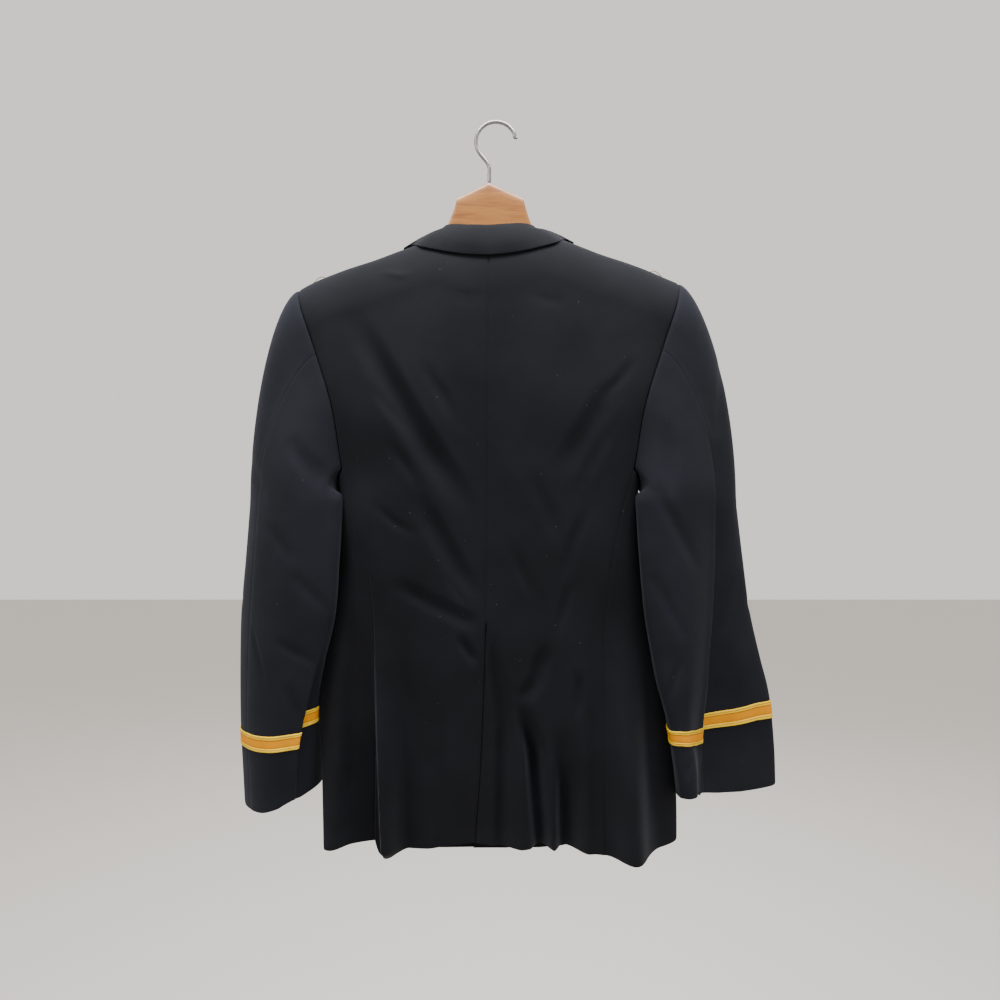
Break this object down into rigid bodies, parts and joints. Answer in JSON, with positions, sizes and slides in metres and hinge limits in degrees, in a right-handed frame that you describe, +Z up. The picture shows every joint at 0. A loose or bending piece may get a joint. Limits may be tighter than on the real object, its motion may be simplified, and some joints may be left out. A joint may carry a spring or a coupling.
{
  "type": "dress uniform jacket on a hanger",
  "caption": "Long-sleeved tailored dress uniform jacket with centre vent, notched lapels and a band of braid round each cuff, hanging on a wooden hanger with a wire hook.",
  "frame": {"origin": "where the crest of the hanger's hook rests on a nail or rail", "axes": "+Z up, +X to the wearer's right, -Y out of the jacket's back, which faces the camera"},
  "size_m": [0.6769, 0.1249, 0.9219],
  "materials": {
    "wool_cloth": "matt wool",
    "gold_braid": "ribbed braid",
    "gilt_metal": "polished gilt",
    "loop_thread": "thread",
    "hanger_wood": "satin varnish",
    "hook_wire": "polished wire"
  },
  "bodies": {
    "root": {"back_left": "wool_cloth", "back_right": "wool_cloth", "side_left": "wool_cloth", "side_right": "wool_cloth", "front_left": "wool_cloth", "front_right": "wool_cloth", "lapel_left": "wool_cloth", "lapel_right": "wool_cloth", "collar": "wool_cloth", "under_sleeve_left": "wool_cloth", "top_sleeve_left": "wool_cloth", "under_sleeve_right": "wool_cloth", "top_sleeve_right": "wool_cloth", "braid_left": "gold_braid", "braid_right": "gold_braid", "button_1": "gilt_metal", "button_2": "gilt_metal", "button_3": "gilt_metal", "button_4": "gilt_metal", "strap_loop_left": "loop_thread", "strap_loop_right": "loop_thread", "hanger_board": "hanger_wood", "hanger_hook": "hook_wire"}
  },
  "joints": []
}
